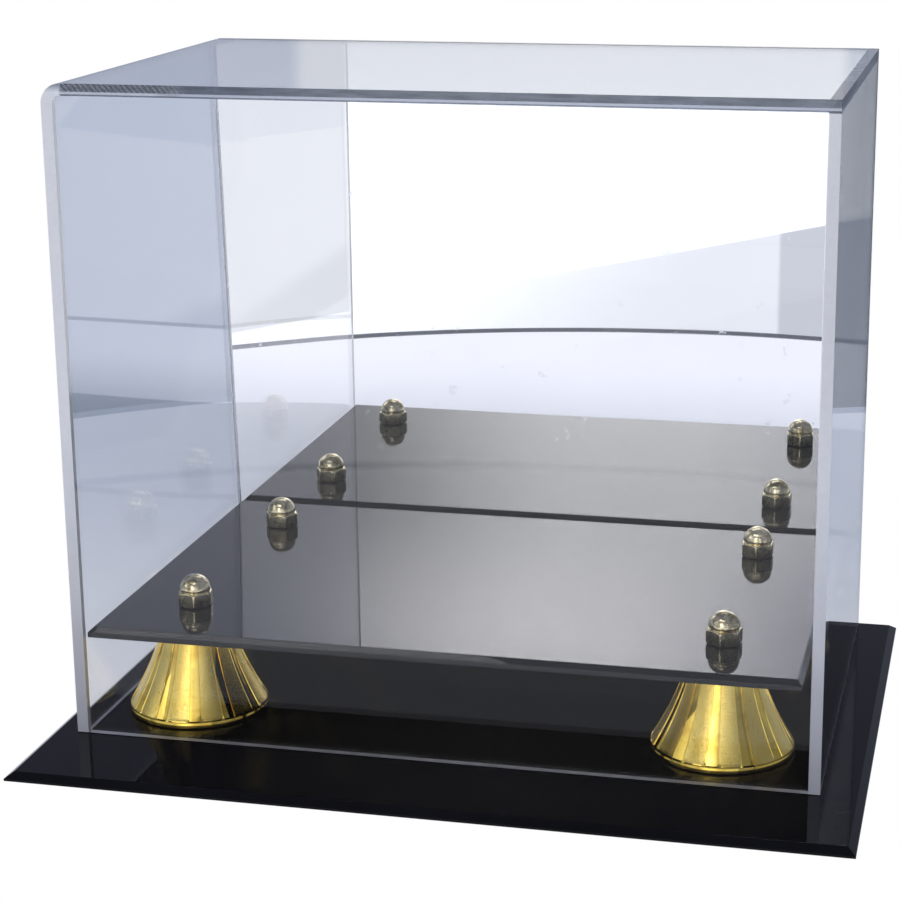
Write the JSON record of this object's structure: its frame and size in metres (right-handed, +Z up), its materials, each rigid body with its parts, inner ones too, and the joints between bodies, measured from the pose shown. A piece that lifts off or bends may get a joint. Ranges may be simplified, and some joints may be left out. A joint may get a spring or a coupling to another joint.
{
  "type": "football display case",
  "caption": "Clear box cover with a mirrored back over a black bevelled base, its raised platform bolted on flared gold risers.",
  "frame": {"origin": "on the table under the middle of the base", "axes": "+X to the right of someone facing the front, along the case's long side; +Y from the front to the mirrored back; +Z up"},
  "size_m": [0.323, 0.238, 0.2655],
  "materials": {
    "black_acrylic": "polished black cast sheet",
    "gold_plate": "bright gold plating, grained panels between polished strips",
    "zinc_steel": "zinc plated",
    "plated_brass": "bright, pale plating",
    "black_rubber": "matte",
    "clear_acrylic": "clear sheet with sawn, part polished edges",
    "mirror_acrylic": "mirrored sheet with a grey painted back"
  },
  "bodies": {
    "stand": {"base_plate": "black_acrylic", "platform_plate": "black_acrylic", "riser_front_left": "gold_plate", "riser_front_right": "gold_plate", "riser_back_left": "gold_plate", "riser_back_right": "gold_plate", "screw_front_left": "zinc_steel", "screw_front_right": "zinc_steel", "screw_back_left": "zinc_steel", "screw_back_right": "zinc_steel", "cap_nut_front_left": "plated_brass", "cap_nut_front_right": "plated_brass", "cap_nut_back_left": "plated_brass", "cap_nut_back_right": "plated_brass", "foot_front_left": "black_rubber", "foot_front_right": "black_rubber", "foot_back_left": "black_rubber", "foot_back_right": "black_rubber"},
    "cover": {"cover_wrap": "clear_acrylic", "cover_right_wall": "clear_acrylic", "cover_front_panel": "clear_acrylic", "mirror_back_panel": "mirror_acrylic"}
  },
  "joints": [
    {"name": "cover_lift", "type": "slide", "parent": "stand", "child": "cover", "axis": [0, 0, 1], "range_m": [0, 0.3]}
  ]
}
